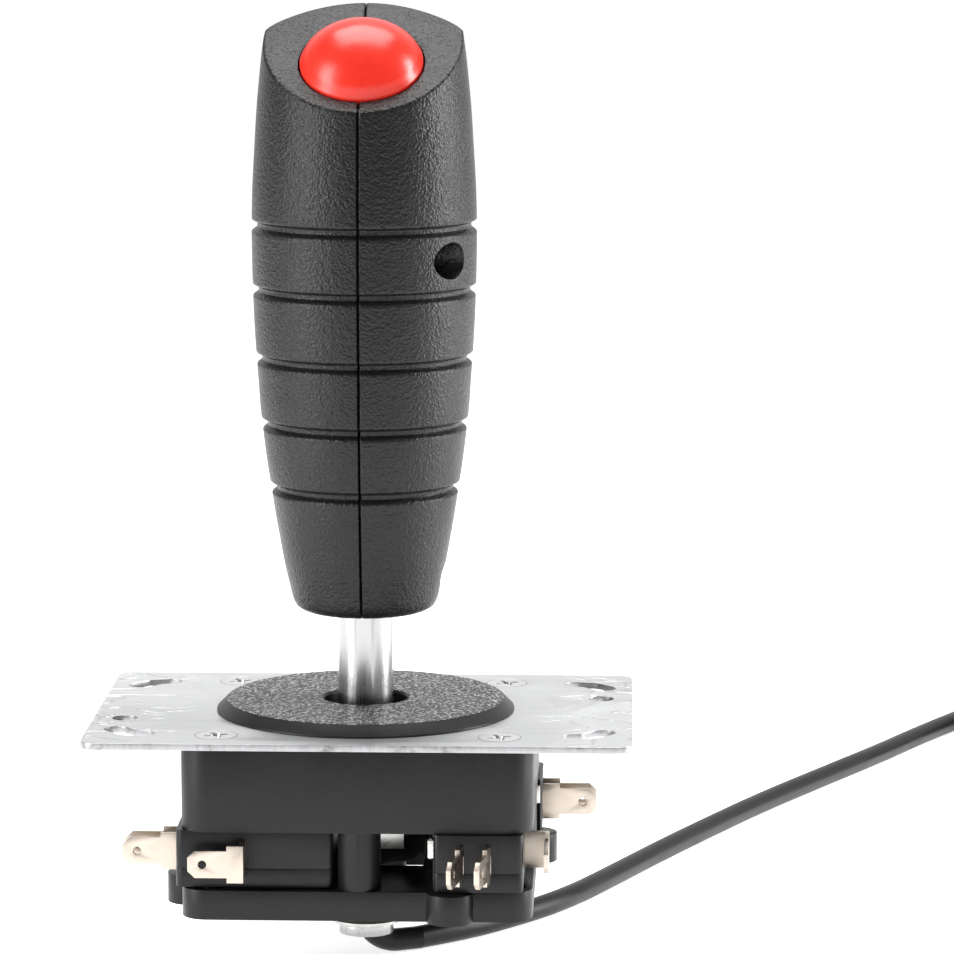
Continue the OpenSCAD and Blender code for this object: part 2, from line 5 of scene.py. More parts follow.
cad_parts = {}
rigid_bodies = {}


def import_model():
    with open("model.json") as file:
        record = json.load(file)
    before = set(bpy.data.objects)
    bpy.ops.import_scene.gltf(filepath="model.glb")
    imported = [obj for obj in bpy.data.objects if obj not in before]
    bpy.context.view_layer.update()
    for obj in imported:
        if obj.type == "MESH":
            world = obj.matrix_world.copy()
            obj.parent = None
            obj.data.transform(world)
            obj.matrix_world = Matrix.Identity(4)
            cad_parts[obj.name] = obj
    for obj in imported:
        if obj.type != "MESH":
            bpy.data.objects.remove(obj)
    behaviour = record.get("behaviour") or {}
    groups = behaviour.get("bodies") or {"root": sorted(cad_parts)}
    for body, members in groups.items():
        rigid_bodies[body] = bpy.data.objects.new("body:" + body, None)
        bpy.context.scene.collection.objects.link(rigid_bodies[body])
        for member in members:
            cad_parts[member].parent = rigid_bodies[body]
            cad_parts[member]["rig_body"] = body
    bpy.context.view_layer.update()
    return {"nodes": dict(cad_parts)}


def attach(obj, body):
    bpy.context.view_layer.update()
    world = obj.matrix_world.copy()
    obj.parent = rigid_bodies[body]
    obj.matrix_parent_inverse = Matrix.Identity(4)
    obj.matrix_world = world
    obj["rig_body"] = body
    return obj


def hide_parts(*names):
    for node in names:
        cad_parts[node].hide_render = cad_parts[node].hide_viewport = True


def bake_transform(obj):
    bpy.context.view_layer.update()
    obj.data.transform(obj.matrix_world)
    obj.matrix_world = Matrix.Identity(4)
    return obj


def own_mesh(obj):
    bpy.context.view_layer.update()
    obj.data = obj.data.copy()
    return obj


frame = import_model()
MM = 0.001
rad = math.radians
scene = bpy.context.scene

# ---------------------------------------------------------------- camera
yaw, pitch, roll = rad(-1.93), rad(8.54), rad(0.05)
fwd = Vector((math.sin(yaw) * math.cos(pitch), math.cos(yaw) * math.cos(pitch), -math.sin(pitch)))
right = Vector((math.cos(yaw), -math.sin(yaw), 0.0))
up = right.cross(fwd)
right, up = right * math.cos(roll) + up * math.sin(roll), up * math.cos(roll) - right * math.sin(roll)
cam_data = bpy.data.cameras.new("camera")
cam_data.sensor_width = 36.0
cam_data.lens = 162.7
cam_data.clip_start, cam_data.clip_end = 0.05, 20.0
cam = bpy.data.objects.new("camera", cam_data)
scene.collection.objects.link(cam)
m = Matrix.Identity(4)
for i in range(3):
    m[i][0], m[i][1], m[i][2] = right[i], up[i], -fwd[i]
m[0][3], m[1][3], m[2][3] = 0.0461, -0.7685, 0.1581
cam.matrix_world = m
scene.camera = cam

# ---------------------------------------------------------------- node helpers
class Mat:
    """A small builder of procedural materials."""

    def __init__(self, name):
        self.m = bpy.data.materials.new(name)
        self.m.use_nodes = True
        self.t = self.m.node_tree
        self.t.nodes.clear()
        self.out = self.t.nodes.new("ShaderNodeOutputMaterial")
        self.b = self.t.nodes.new("ShaderNodeBsdfPrincipled")
        self.t.links.new(self.b.outputs[0], self.out.inputs[0])
        self.co = self.t.nodes.new("ShaderNodeTexCoord").outputs["Object"]

    def n(self, kind, **kw):
        node = self.t.nodes.new(kind)
        for k, v in kw.items():
            setattr(node, k, v)
        return node

    def link(self, a, b):
        self.t.links.new(a, b)

    def scaled(self, x, y, z):
        v = self.n("ShaderNodeMapping")
        v.inputs["Scale"].default_value = (x, y, z)
        self.link(self.co, v.inputs["Vector"])
        return v.outputs[0]

    def noise(self, scale, detail=3.0, rough=0.5, vec=None, distort=0.0):
        v = self.n("ShaderNodeTexNoise")
        v.inputs["Scale"].default_value = scale
        v.inputs["Detail"].default_value = detail
        v.inputs["Roughness"].default_value = rough
        v.inputs["Distortion"].default_value = distort
        self.link(vec or self.co, v.inputs["Vector"])
        return v.outputs["Fac"] if "Fac" in v.outputs else v.outputs[0]

    def voro(self, scale, feature="SMOOTH_F1", smooth=0.6, vec=None, rnd=1.0):
        v = self.n("ShaderNodeTexVoronoi", feature=feature)
        v.inputs["Scale"].default_value = scale
        v.inputs["Randomness"].default_value = rnd
        if feature == "SMOOTH_F1":
            v.inputs["Smoothness"].default_value = smooth
        self.link(vec or self.co, v.inputs["Vector"])
        return v.outputs["Distance"]

    def ramp(self, fac, stops):
        v = self.n("ShaderNodeValToRGB")
        r = v.color_ramp
        while len(r.elements) < len(stops):
            r.elements.new(0.5)
        for e, (p, c) in zip(r.elements, stops):
            e.position = p
            e.color = (c, c, c, 1) if not hasattr(c, "__len__") else (*c, 1)
        self.link(fac, v.inputs[0])
        return v.outputs[0]

    def mix(self, fac, a, b):
        v = self.n("ShaderNodeMix", data_type="RGBA")
        for k, x in ((6, a), (7, b)):
            if hasattr(x, "__len__"):
                v.inputs[k].default_value = (*x, 1)
            else:
                self.link(x, v.inputs[k])
        if isinstance(fac, float):
            v.inputs[0].default_value = fac
        else:
            self.link(fac, v.inputs[0])
        return v.outputs[2]

    def add(self, a, b, k=1.0, op="MULTIPLY_ADD"):
        v = self.n("ShaderNodeMath", operation=op)
        self.link(b, v.inputs[0])
        v.inputs[1].default_value = k
        self.link(a, v.inputs[2])
        return v.outputs[0]

    def bump(self, height, dist, strength=1.0, prev=None):
        v = self.n("ShaderNodeBump")
        v.inputs["Strength"].default_value = strength
        v.inputs["Distance"].default_value = dist
        self.link(height, v.inputs["Height"])
        if prev is not None:
            self.link(prev, v.inputs["Normal"])
        return v.outputs[0]

    def set(self, **kw):
        for k, v in kw.items():
            self.b.inputs[k.replace("_", " ")].default_value = v
        return self


def plastic(name, col, rough, grain=0.0, grain_scale=2200.0, fine=0.000006, spec=0.30, vary=0.25, wear=0.0):
    """Moulded plastic: even body colour with slight mottling, a grain, and uneven gloss."""
    k = Mat(name)
    big = k.noise(90.0, 4.0, 0.6)
    sml = k.noise(1400.0, 3.0, 0.6)
    lo = [c * (1 - vary) for c in col]
    hi = [c * (1 + vary) for c in col]
    base = k.mix(k.ramp(big, [(0.3, 0.0), (0.7, 1.0)]), lo, hi)
    if wear > 0:
        g = k.n("ShaderNodeNewGeometry").outputs["Pointiness"]
        edge = k.ramp(g, [(0.52, 0.0), (0.58, 1.0)])
        base = k.mix(edge, base, [min(1.0, c * (1 + wear)) for c in col])
    k.link(base, k.b.inputs["Base Color"])
    r = k.ramp(k.add(big, sml, 0.5), [(0.45, rough - 0.07), (1.05, rough + 0.09)])
    k.link(r, k.b.inputs["Roughness"])
    nrm = k.bump(sml, fine, 1.0)
    if grain > 0:
        cells = k.voro(grain_scale, "SMOOTH_F1", 0.35, k.scaled(1, 1, 1))
        warp = k.noise(grain_scale * 0.6, 2.0, 0.5)
        nrm = k.bump(k.add(cells, warp, 0.5), grain, 1.0, nrm)
    k.link(nrm, k.b.inputs["Normal"])
    k.set(Metallic=0.0)
    k.b.inputs["Specular IOR Level"].default_value = spec
    return k.m


def metal(name, col, rough, streak=(1, 1, 1), scale=600.0, depth=0.000003, vary=0.08, dirt=None, pits=0.0):
    """Bare or plated metal with fine directional marks, cloudy plating and uneven gloss."""
    k = Mat(name)
    v = k.scaled(*streak)
    line = k.noise(scale, 5.0, 0.65, v)
    cloud = k.noise(45.0, 5.0, 0.6)
    lo = [c * (1 - vary) for c in col]
    hi = [min(1.0, c * (1 + vary)) for c in col]
    base = k.mix(k.ramp(k.add(line, cloud, 0.8), [(0.55, 0.0), (1.15, 1.0)]), lo, hi)
    if dirt is not None:
        spots = k.ramp(k.noise(260.0, 6.0, 0.7), [(0.56, 0.0), (0.70, 1.0)])
        base = k.mix(spots, base, dirt)
    k.link(base, k.b.inputs["Base Color"])
    r = k.ramp(k.add(cloud, line, 0.6), [(0.5, rough - 0.08), (1.15, rough + 0.10)])
    k.link(r, k.b.inputs["Roughness"])
    nrm = k.bump(line, depth, 1.0)
    if pits > 0:
        nrm = k.bump(k.noise(170.0, 4.0, 0.55, None, 0.6), pits, 1.0, nrm)
    k.link(nrm, k.b.inputs["Normal"])
    k.set(Metallic=1.0)
    return k.m


# grip: charcoal plastic with a leather-like grain; the dust disc also gets painted glints
def grip_material(name, col, rough, cell, depth, painted_glint=0.0):
    k = Mat(name)
    warp = k.n("ShaderNodeVectorMath", operation="MULTIPLY_ADD")
    ns = k.n("ShaderNodeTexNoise")
    ns.inputs["Scale"].default_value = 0.45 / cell
    ns.inputs["Detail"].default_value = 2.0
    k.link(k.co, ns.inputs["Vector"])
    k.link(ns.outputs["Color"], warp.inputs[0])
    warp.inputs[1].default_value = (cell, cell, cell)
    k.link(k.co, warp.inputs[2])
    c1 = k.voro(1.0 / cell, "SMOOTH_F1", 0.35, warp.outputs[0])
    c2 = k.voro(0.52 / cell, "SMOOTH_F1", 0.5, warp.outputs[0])
    fine = k.noise(3.2 / cell, 2.0, 0.6)
    big = k.noise(60.0, 4.0, 0.6)
    h = k.add(k.add(c1, c2, 0.7), fine, 0.25)
    k.link(k.bump(h, depth, 1.0), k.b.inputs["Normal"])
    lo, hi = [c * 0.70 for c in col], [c * 1.35 for c in col]
    body = k.mix(k.ramp(k.add(c1, big, 0.7), [(0.3, 0.0), (1.0, 1.0)]), hi, lo)
    # painted glints: light grey dots in the base colour stand in for sparkles of reflected light on the grain
    if painted_glint > 0:
        painted_glint_dots = k.ramp(k.noise(0.85 / cell, 1.0, 0.5, None, 0.0), [(0.53, 0.0), (0.60, 1.0)])
        body = k.mix(painted_glint_dots, body, (painted_glint, painted_glint, painted_glint))
    k.link(body, k.b.inputs["Base Color"])
    k.link(k.ramp(k.add(big, c1, 0.5), [(0.35, rough - 0.06), (1.1, rough + 0.10)]), k.b.inputs["Roughness"])
    k.b.inputs["Specular IOR Level"].default_value = 0.5 if painted_glint > 0 else 0.34
    return k.m


M = {}
M["grip"] = grip_material("grip_grain", (0.009, 0.009, 0.010), 0.31, 0.00046, 0.00010)
# the dust disc's last argument, 0.50, is the grey of its painted glints
M["disc"] = grip_material("disc_pebble", (0.016, 0.016, 0.017), 0.30, 0.00050, 0.00075, 0.50)
M["disc_edge"] = plastic("disc_rim", (0.016, 0.016, 0.017), 0.38, 0.00001, 3000.0)
M["housing"] = plastic("housing_black", (0.008, 0.008, 0.009), 0.40, 0.00002, 3000.0)
M["base"] = plastic("base_black", (0.007, 0.007, 0.008), 0.34, 0.00002, 3000.0)
M["switch"] = plastic("switch_black", (0.006, 0.006, 0.007), 0.32, 0.00001, 3600.0)
M["nylon_white"] = plastic("nylon_white", (0.74, 0.72, 0.66), 0.42, 0.00001, 2600.0, vary=0.06)
M["nylon_black"] = plastic("nylon_black", (0.016, 0.016, 0.016), 0.40, 0.00001, 2600.0)
M["plunger_red"] = plastic("plunger_red", (0.45, 0.035, 0.03), 0.38, 0.0, vary=0.12)
M["lead"] = plastic("lead_pvc", (0.008, 0.008, 0.009), 0.36, 0.00001, 1800.0, fine=0.000006, spec=0.32, vary=0.2)
M["wire_red"] = plastic("wire_red", (0.50, 0.03, 0.025), 0.36, 0.0, vary=0.12)
M["wire_black"] = plastic("wire_black", (0.02, 0.02, 0.02), 0.36, 0.0, vary=0.2)
M["black_steel"] = metal("black_steel", (0.07, 0.07, 0.072), 0.36, (1, 1, 1), 900.0)
M["shaft"] = metal("shaft_steel", (0.46, 0.46, 0.46), 0.24, (1, 1, 0.03), 1500.0, 0.000004, 0.10)
M["pin"] = metal("pin_steel", (0.62, 0.61, 0.59), 0.27, (1, 1, 0.2), 900.0, vary=0.1)
M["lever"] = metal("lever_steel", (0.68, 0.67, 0.65), 0.30, (0.15, 0.15, 1), 1400.0, vary=0.08)
M["spring"] = metal("spring_steel", (0.50, 0.50, 0.50), 0.30, (1, 1, 1), 1100.0, vary=0.12)
M["tab"] = metal("tab_nickel", (0.56, 0.49, 0.42), 0.30, (0.25, 0.25, 1), 900.0, 0.000004, 0.07)
M["copper"] = metal("blade_copper", (0.80, 0.52, 0.28), 0.30, (0.2, 1, 1), 900.0)
M["screw"] = metal("screw_zinc", (0.66, 0.66, 0.65), 0.36, (1, 1, 1), 1200.0, 0.000006, 0.12)


def plate_material():
    """Zinc plating over rolled sheet: cloudy, with creases near the edges darkened by painted shade, and long faint
    scratches.
    """
    k = Mat("plate_zinc")
    cloud = k.noise(38.0, 6.0, 0.62, None, 0.8)
    fine = k.noise(900.0, 4.0, 0.6)
    scratch = k.noise(420.0, 4.0, 0.6, k.scaled(0.06, 1.0, 1.0))
    crease = k.noise(34.0, 3.0, 0.5, k.scaled(1.0, 1.6, 1.0), 2.2)
    # creases show near the long and short edges
    sep = k.n("ShaderNodeSeparateXYZ")
    k.link(k.co, sep.inputs[0])
    ax = k.n("ShaderNodeMath", operation="ABSOLUTE")
    k.link(sep.outputs[0], ax.inputs[0])
    ex = k.ramp(k.add(ax.outputs[0], ax.outputs[0], 20.0), [(0.55, 0.0), (0.95, 1.0)])
    base = k.mix(k.ramp(k.add(cloud, fine, 0.4), [(0.45, 0.0), (0.95, 1.0)]), (0.57, 0.575, 0.58), (0.69, 0.695, 0.70))
    lines = k.ramp(crease, [(0.47, 0.0), (0.50, 1.0), (0.53, 0.0)])
    crease_shade_and_relief = k.n("ShaderNodeMath", operation="MULTIPLY")
    k.link(lines, crease_shade_and_relief.inputs[0])
    k.link(ex, crease_shade_and_relief.inputs[1])
    # painted shade: the crease lines darken the plating towards grey 0.36, as if shaded; the bump further down gives
    # the creases their relief
    base = k.mix(k.ramp(crease_shade_and_relief.outputs[0], [(0.0, 0.0), (1.0, 0.38)]), base, (0.36, 0.36, 0.37))
    k.link(base, k.b.inputs["Base Color"])
    k.link(k.ramp(k.add(cloud, scratch, 0.5), [(0.5, 0.30), (1.05, 0.46)]), k.b.inputs["Roughness"])
    nrm = k.bump(scratch, 0.0000035, 1.0)
    nrm = k.bump(fine, 0.000006, 1.0, nrm)
    nrm = k.bump(crease_shade_and_relief.outputs[0], 0.00030, 0.8, nrm)
    nrm = k.bump(k.noise(16.0, 2.0, 0.5), 0.00035, 0.6, nrm)
    k.link(nrm, k.b.inputs["Normal"])
    k.set(Metallic=0.80)
    return k.m


M["plate"] = plate_material()
M["plate_edge"] = metal("plate_sheared_edge", (0.40, 0.40, 0.41), 0.42, (1, 1, 0.1), 900.0, 0.000006, 0.18, dirt=(0.20, 0.20, 0.20))


def button_material():
    k = Mat("button_red")
    big = k.noise(120.0, 3.0, 0.5)
    sml = k.noise(2600.0, 3.0, 0.55)
    k.link(k.mix(k.ramp(big, [(0.3, 0.0), (0.7, 1.0)]), (0.70, 0.022, 0.010), (0.78, 0.030, 0.014)), k.b.inputs["Base Color"])
    k.link(k.ramp(k.add(big, sml, 0.4), [(0.4, 0.24), (1.0, 0.32)]), k.b.inputs["Roughness"])
    k.link(k.bump(sml, 0.000006, 1.0), k.b.inputs["Normal"])
    k.set(Metallic=0.0)
    k.b.inputs["Specular IOR Level"].default_value = 0.5
    k.b.inputs["Subsurface Weight"].default_value = 0.0
    return k.m


M["button"] = button_material()


# ---------------------------------------------------------------- mesh helpers
def mesh_object(name, verts, faces, mat, angle=38.0):
    me = bpy.data.meshes.new(name)
    me.from_pydata([tuple(v) for v in verts], [], faces)
    me.validate()
    ob = bpy.data.objects.new(name, me)
    scene.collection.objects.link(ob)
    me.materials.append(mat)
    smooth(ob, angle)
    return ob


def smooth(ob, angle):
    me = ob.data
    me.polygons.foreach_set("use_smooth", [True] * len(me.polygons))
    if hasattr(me, "set_sharp_from_angle"):
        me.set_sharp_from_angle(angle=rad(angle))
    me.update()


def rounded(points, r, steps=4, closed=True):
    """The outline with its corners rounded to r, or less on short edges."""
    out, n = [], len(points)
    for i in range(n):
        p = np.array(points[i], float)
        if not closed and i in (0, n - 1):
            out.append(tuple(p))
            continue
        a, b = np.array(points[i - 1], float), np.array(points[(i + 1) % n], float)
        ua, ub = a - p, b - p
        la, lb = np.linalg.norm(ua), np.linalg.norm(ub)
        ua, ub = ua / la, ub / lb
        cosang = float(np.clip(ua @ ub, -1, 1))
        ang = math.acos(cosang)
        if ang > rad(165):
            out.append(tuple(p))
            continue
        d = min(r / math.tan(ang / 2), 0.45 * la, 0.45 * lb)
        p0, p1 = p + ua * d, p + ub * d
        for s in range(steps + 1):
            t = s / steps
            out.append(tuple((1 - t) ** 2 * p0 + 2 * t * (1 - t) * p + t * t * p1))
    return out


def lathe(name, outline, mat, matrix=None, n=128, angle=38.0, closed=True):
    """Turns an outline of (radius, height) in mm about Z. A closed outline is a ring; an open one starts and ends on the axis."""
    pts = list(outline)
    verts, faces, rows = [], [], []
    for r, z in pts:
        if r < 1e-6:
            rows.append([len(verts)])
            verts.append((0, 0, z * MM))
        else:
            rows.append(list(range(len(verts), len(verts) + n)))
            verts += [(r * MM * math.cos(2 * math.pi * i / n), r * MM * math.sin(2 * math.pi * i / n), z * MM) for i in range(n)]
    m_ = len(rows)
    for j in range(m_ if closed else m_ - 1):
        a, b = rows[j], rows[(j + 1) % m_]
        for i in range(n):
            k = (i + 1) % n
            if len(a) == 1 and len(b) == 1:
                continue
            if len(a) == 1:
                faces.append((a[0], b[k], b[i]))
            elif len(b) == 1:
                faces.append((a[i], a[k], b[0]))
            else:
                faces.append((a[i], a[k], b[k], b[i]))
    ob = mesh_object(name, verts, faces, mat, angle)
    if matrix is not None:
        ob.data.transform(matrix)
    fix_normals(ob)
    smooth(ob, angle)
    return ob


def fix_normals(ob):
    bm = bmesh.new()
    bm.from_mesh(ob.data)
    bmesh.ops.recalc_face_normals(bm, faces=bm.faces[:])
    bm.to_mesh(ob.data)
    bm.free()


def on(ob, body, *nodes, slot=None):
    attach(ob, body)
    if nodes:
        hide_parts(*nodes)
    return ob


def box_of(ob):
    co = np.array([v.co for v in ob.data.vertices], float)
    return co.min(0), co.max(0)


def refine(node, name, mat, width=0.25, segments=2, limit=30.0, mats=None):
    """A copy of a CAD piece with its planar faces merged and its sharp edges rounded by width mm, which stands for the CAD piece."""
    src = frame["nodes"][node]
    lo, hi = box_of(src)

    def build(w):
        bm = bmesh.new()
        bm.from_mesh(src.data)
        bmesh.ops.remove_doubles(bm, verts=bm.verts[:], dist=2e-6)
        bmesh.ops.dissolve_limit(bm, angle_limit=rad(0.6), verts=bm.verts[:], edges=bm.edges[:], delimit=set())
        if w > 0:
            edges = [e for e in bm.edges if len(e.link_faces) == 2 and e.calc_face_angle(0) > rad(limit)]
            bmesh.ops.bevel(bm, geom=edges, offset=w * MM, offset_type="OFFSET", segments=segments, profile=0.6, affect="EDGES", clamp_overlap=True)
        bmesh.ops.triangulate(bm, faces=[f for f in bm.faces if len(f.verts) > 4])
        me = bpy.data.meshes.new(name)
        bm.to_mesh(me)
        bm.free()
        return me

    me = build(width)
    co = np.array([v.co for v in me.vertices], float)
    if width > 0 and (np.isnan(co).any() or (co.min(0) < lo - 2e-5).any() or (co.max(0) > hi + 2e-5).any()):
        me = build(0)
    ob = bpy.data.objects.new(name, me)
    scene.collection.objects.link(ob)
    me.materials.clear()
    me.materials.append(mat)
    smooth(ob, 34.0)
    on(ob, src["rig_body"], node)
    return ob


def cut(ob, cutters, solver="EXACT"):
    for c in cutters:
        mod = ob.modifiers.new("cut", "BOOLEAN")
        mod.operation, mod.object, mod.solver = "DIFFERENCE", c, solver
        dg = bpy.context.evaluated_depsgraph_get()
        me = bpy.data.meshes.new_from_object(ob.evaluated_get(dg))
        ob.modifiers.clear()
        old, ob.data = ob.data, me
        bpy.data.meshes.remove(old)
    for c in cutters:
        bpy.data.objects.remove(c)


# ---------------------------------------------------------------- lead: route, coil and tail, in metres
def catmull(p, k):
    p = [np.array(q, float) for q in p]
    out, n = [], len(p)
    for i in range(n - 1):
        a, b, c, d = p[max(i - 1, 0)], p[i], p[i + 1], p[min(i + 2, n - 1)]
        for j in range(k + (i == n - 2)):
            t = j / k
            out.append(0.5 * ((2 * b) + (c - a) * t + (2 * a - 5 * b + 4 * c - d) * t * t + (3 * b - a - 3 * c + d) * t ** 3))
    return out


LEAD_R = 0.0021
FLOOR = -0.04595
LZ, HZ = -0.04385, -0.03945
route = [(0.009, 0.004), (0.020, 0.0135), (0.031, 0.027), (0.038, 0.0385), (0.044, 0.051), (0.054, 0.073), (0.065, 0.096),
         (0.076, 0.118), (0.088, 0.140), (0.103, 0.167), (0.113, 0.186), (0.123, 0.204), (0.1356, 0.2258)]
COIL = (0.1578, 0.2130)


def sm(t):
    t = min(1.0, max(0.0, t))
    return t * t * (3 - 2 * t)


def coil_point(f):
    """The lead's centre in the coil after f degrees of clockwise turning."""
    ro, ri = 25.6, 21.4
    r = ro - (ro - ri) * sm((f - 280) / 60) + (ro - ri) * sm((f - 890) / 70) + 0.9 * sm((f - 1222) / 48)
    z = LZ + (HZ - LZ) * sm((f - 560) / 80)
    a = rad(150 - f)
    return np.array([COIL[0] + r * MM * math.cos(a), COIL[1] + r * MM * math.sin(a), z])


line = [np.array([x, y, LZ]) for x, y in (q[:2] for q in catmull([(a, b, 0) for a, b in route], 4))]
line += [coil_point(f) for f in range(10, 1270, 10)] + [coil_point(1270)]
tail_o = np.array([COIL[0] + 0.0275 * math.cos(rad(-40)), COIL[1] + 0.0275 * math.sin(rad(-40))])
tail_d = np.array([-0.643, -0.766])
tail_d = tail_d / np.linalg.norm(tail_d)
tail_n = np.array([math.cos(rad(-40)), math.sin(rad(-40))])
for s in (2, 4, 6, 8, 10, 12, 14, 16, 18, 20, 22, 24, 26):
    q = tail_o + tail_d * s * MM - tail_n * 0.001 * (1 - sm(s / 12.0))
    line.append(np.array([q[0], q[1], HZ + (LZ - HZ) * sm(s / 19.0)]))


def curve_object(name, points, radius, mat, res=6, caps=True):
    cu = bpy.data.curves.new(name, "CURVE")
    cu.dimensions = "3D"
    sp = cu.splines.new("POLY")
    sp.points.add(len(points) - 1)
    for q, p in zip(sp.points, points):
        q.co = (p[0], p[1], p[2], 1)
    cu.bevel_depth = radius
    cu.bevel_resolution = res
    cu.use_fill_caps = caps
    ob = bpy.data.objects.new(name, cu)
    scene.collection.objects.link(ob)
    cu.materials.append(mat)
    for s in cu.splines:
        s.use_smooth = True
    return ob


def tube(name, points, radius, mat, n=20, taper=1.0):
    """A closed mesh tube through the points."""
    pts = [np.array(p, float) for p in points]
    verts, faces = [], []
    t0 = pts[1] - pts[0]
    ref = np.array([0, 0, 1.0]) if abs(t0[2]) < 0.9 * np.linalg.norm(t0) else np.array([1.0, 0, 0])
    s = np.cross(ref, t0)
    s /= np.linalg.norm(s)
    for i, p in enumerate(pts):
        t = pts[min(i + 1, len(pts) - 1)] - pts[max(i - 1, 0)]
        t /= np.linalg.norm(t)
        s = s - t * (s @ t)
        s /= np.linalg.norm(s)
        u = np.cross(t, s)
        for j in range(n):
            a = 2 * math.pi * j / n
            verts.append(p + radius * (1.0 if i < len(pts) - 2 else taper) * (math.cos(a) * s + math.sin(a) * u))
    for i in range(len(pts) - 1):
        for j in range(n):
            k = (j + 1) % n
            faces.append((i * n + j, i * n + k, (i + 1) * n + k, (i + 1) * n + j))
    faces.append(tuple(range(n - 1, -1, -1)))
    faces.append(tuple((len(pts) - 1) * n + j for j in range(n)))
    return mesh_object(name, verts, faces, mat, 40.0)


lead = curve_object("free_lead", line, LEAD_R, M["lead"])
on(lead, "base", "lead", "lead_coil", slot="lead_pvc")

# the stretch between the shaft's bore and the floor, in two pieces
ca, sa = math.cos(rad(24)), math.sin(rad(24))
up_pts = [(-0.45, -35.0), (-0.45, -36.0), (-0.45, -37.0)] + [(-0.45 + 6.5 * (1 - math.cos(rad(a))), -43.85 + 6.5 * (1 - math.sin(rad(a)))) for a in range(0, 91, 6)] + [(7.6, -43.85), (10.6, -43.85)]
exit_pts = [np.array([r * ca * MM, r * sa * MM, z * MM]) for r, z in up_pts]
k_mid = 3 + 6
exit_top = tube("lead_exit_upper", exit_pts[:k_mid + 1], LEAD_R, M["lead"])
exit_low = tube("lead_exit_lower", exit_pts[k_mid:], LEAD_R, M["lead"], taper=0.99)
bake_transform(exit_top)
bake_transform(exit_low)
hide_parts("lead_exit")

# ---------------------------------------------------------------- grip halves
grip_outer = [(18.4, 10.6), (18.7, 11.7), (19.4, 12.5), (20.6, 13.1), (22.6, 13.6), (27, 14.6), (32, 15.5), (37, 16.35), (42, 17.1), (47.5, 17.9),
              (55, 18.75), (60, 19.1), (65, 19.45), (70, 19.75), (75, 19.95), (80, 20.1), (85.5, 20.18), (90, 20.15), (94, 20.05),
              (98, 19.85), (102.5, 19.58), (107, 19.3), (111, 19.0), (117.5, 18.35), (121, 17.9), (122.7, 17.65)]
dome_pts = [(123.2, 17.2), (124.1, 15.7), (125.3, 13.2), (126.4, 10.5), (127.4, 7.6), (128.1, 4.6), (128.5, 0)]
GROOVES = [88.4, 76.9, 64.6, 52.8, 41.2]
GD = 1.0
FA = rad(34.2)
SEAM = 0.05


def smooth_profile(points, k):
    """A finer profile through the points: height, radius."""
    q = catmull([(a, b, 0.0) for a, b in points], k)
    return [(float(v[0]), float(v[1])) for v in q]


body_prof = smooth_profile(grip_outer[2:], 4)


def outer_r(z):
    zz = [p[0] for p in body_prof]
    rr = [p[1] for p in body_prof]
    return float(np.interp(z, zz, rr))


def groove_cut(z):
    """How far the surface is sunk at this height: a rolled lip above each groove, a rounded shoulder below."""
    for g in GROOVES:
        d = z - g
        if -1.3 <= d <= 1.0:
            xs = [-1.3, -1.1, -0.85, -0.6, -0.4, 0.2, 0.42, 0.55, 0.68, 0.82, 1.0]
            ys = [0.02, 0.10, 0.42, 0.80, GD, GD, 0.92, 0.72, 0.38, 0.12, 0.0]
            return float(np.interp(d, xs, ys))
    return 0.0


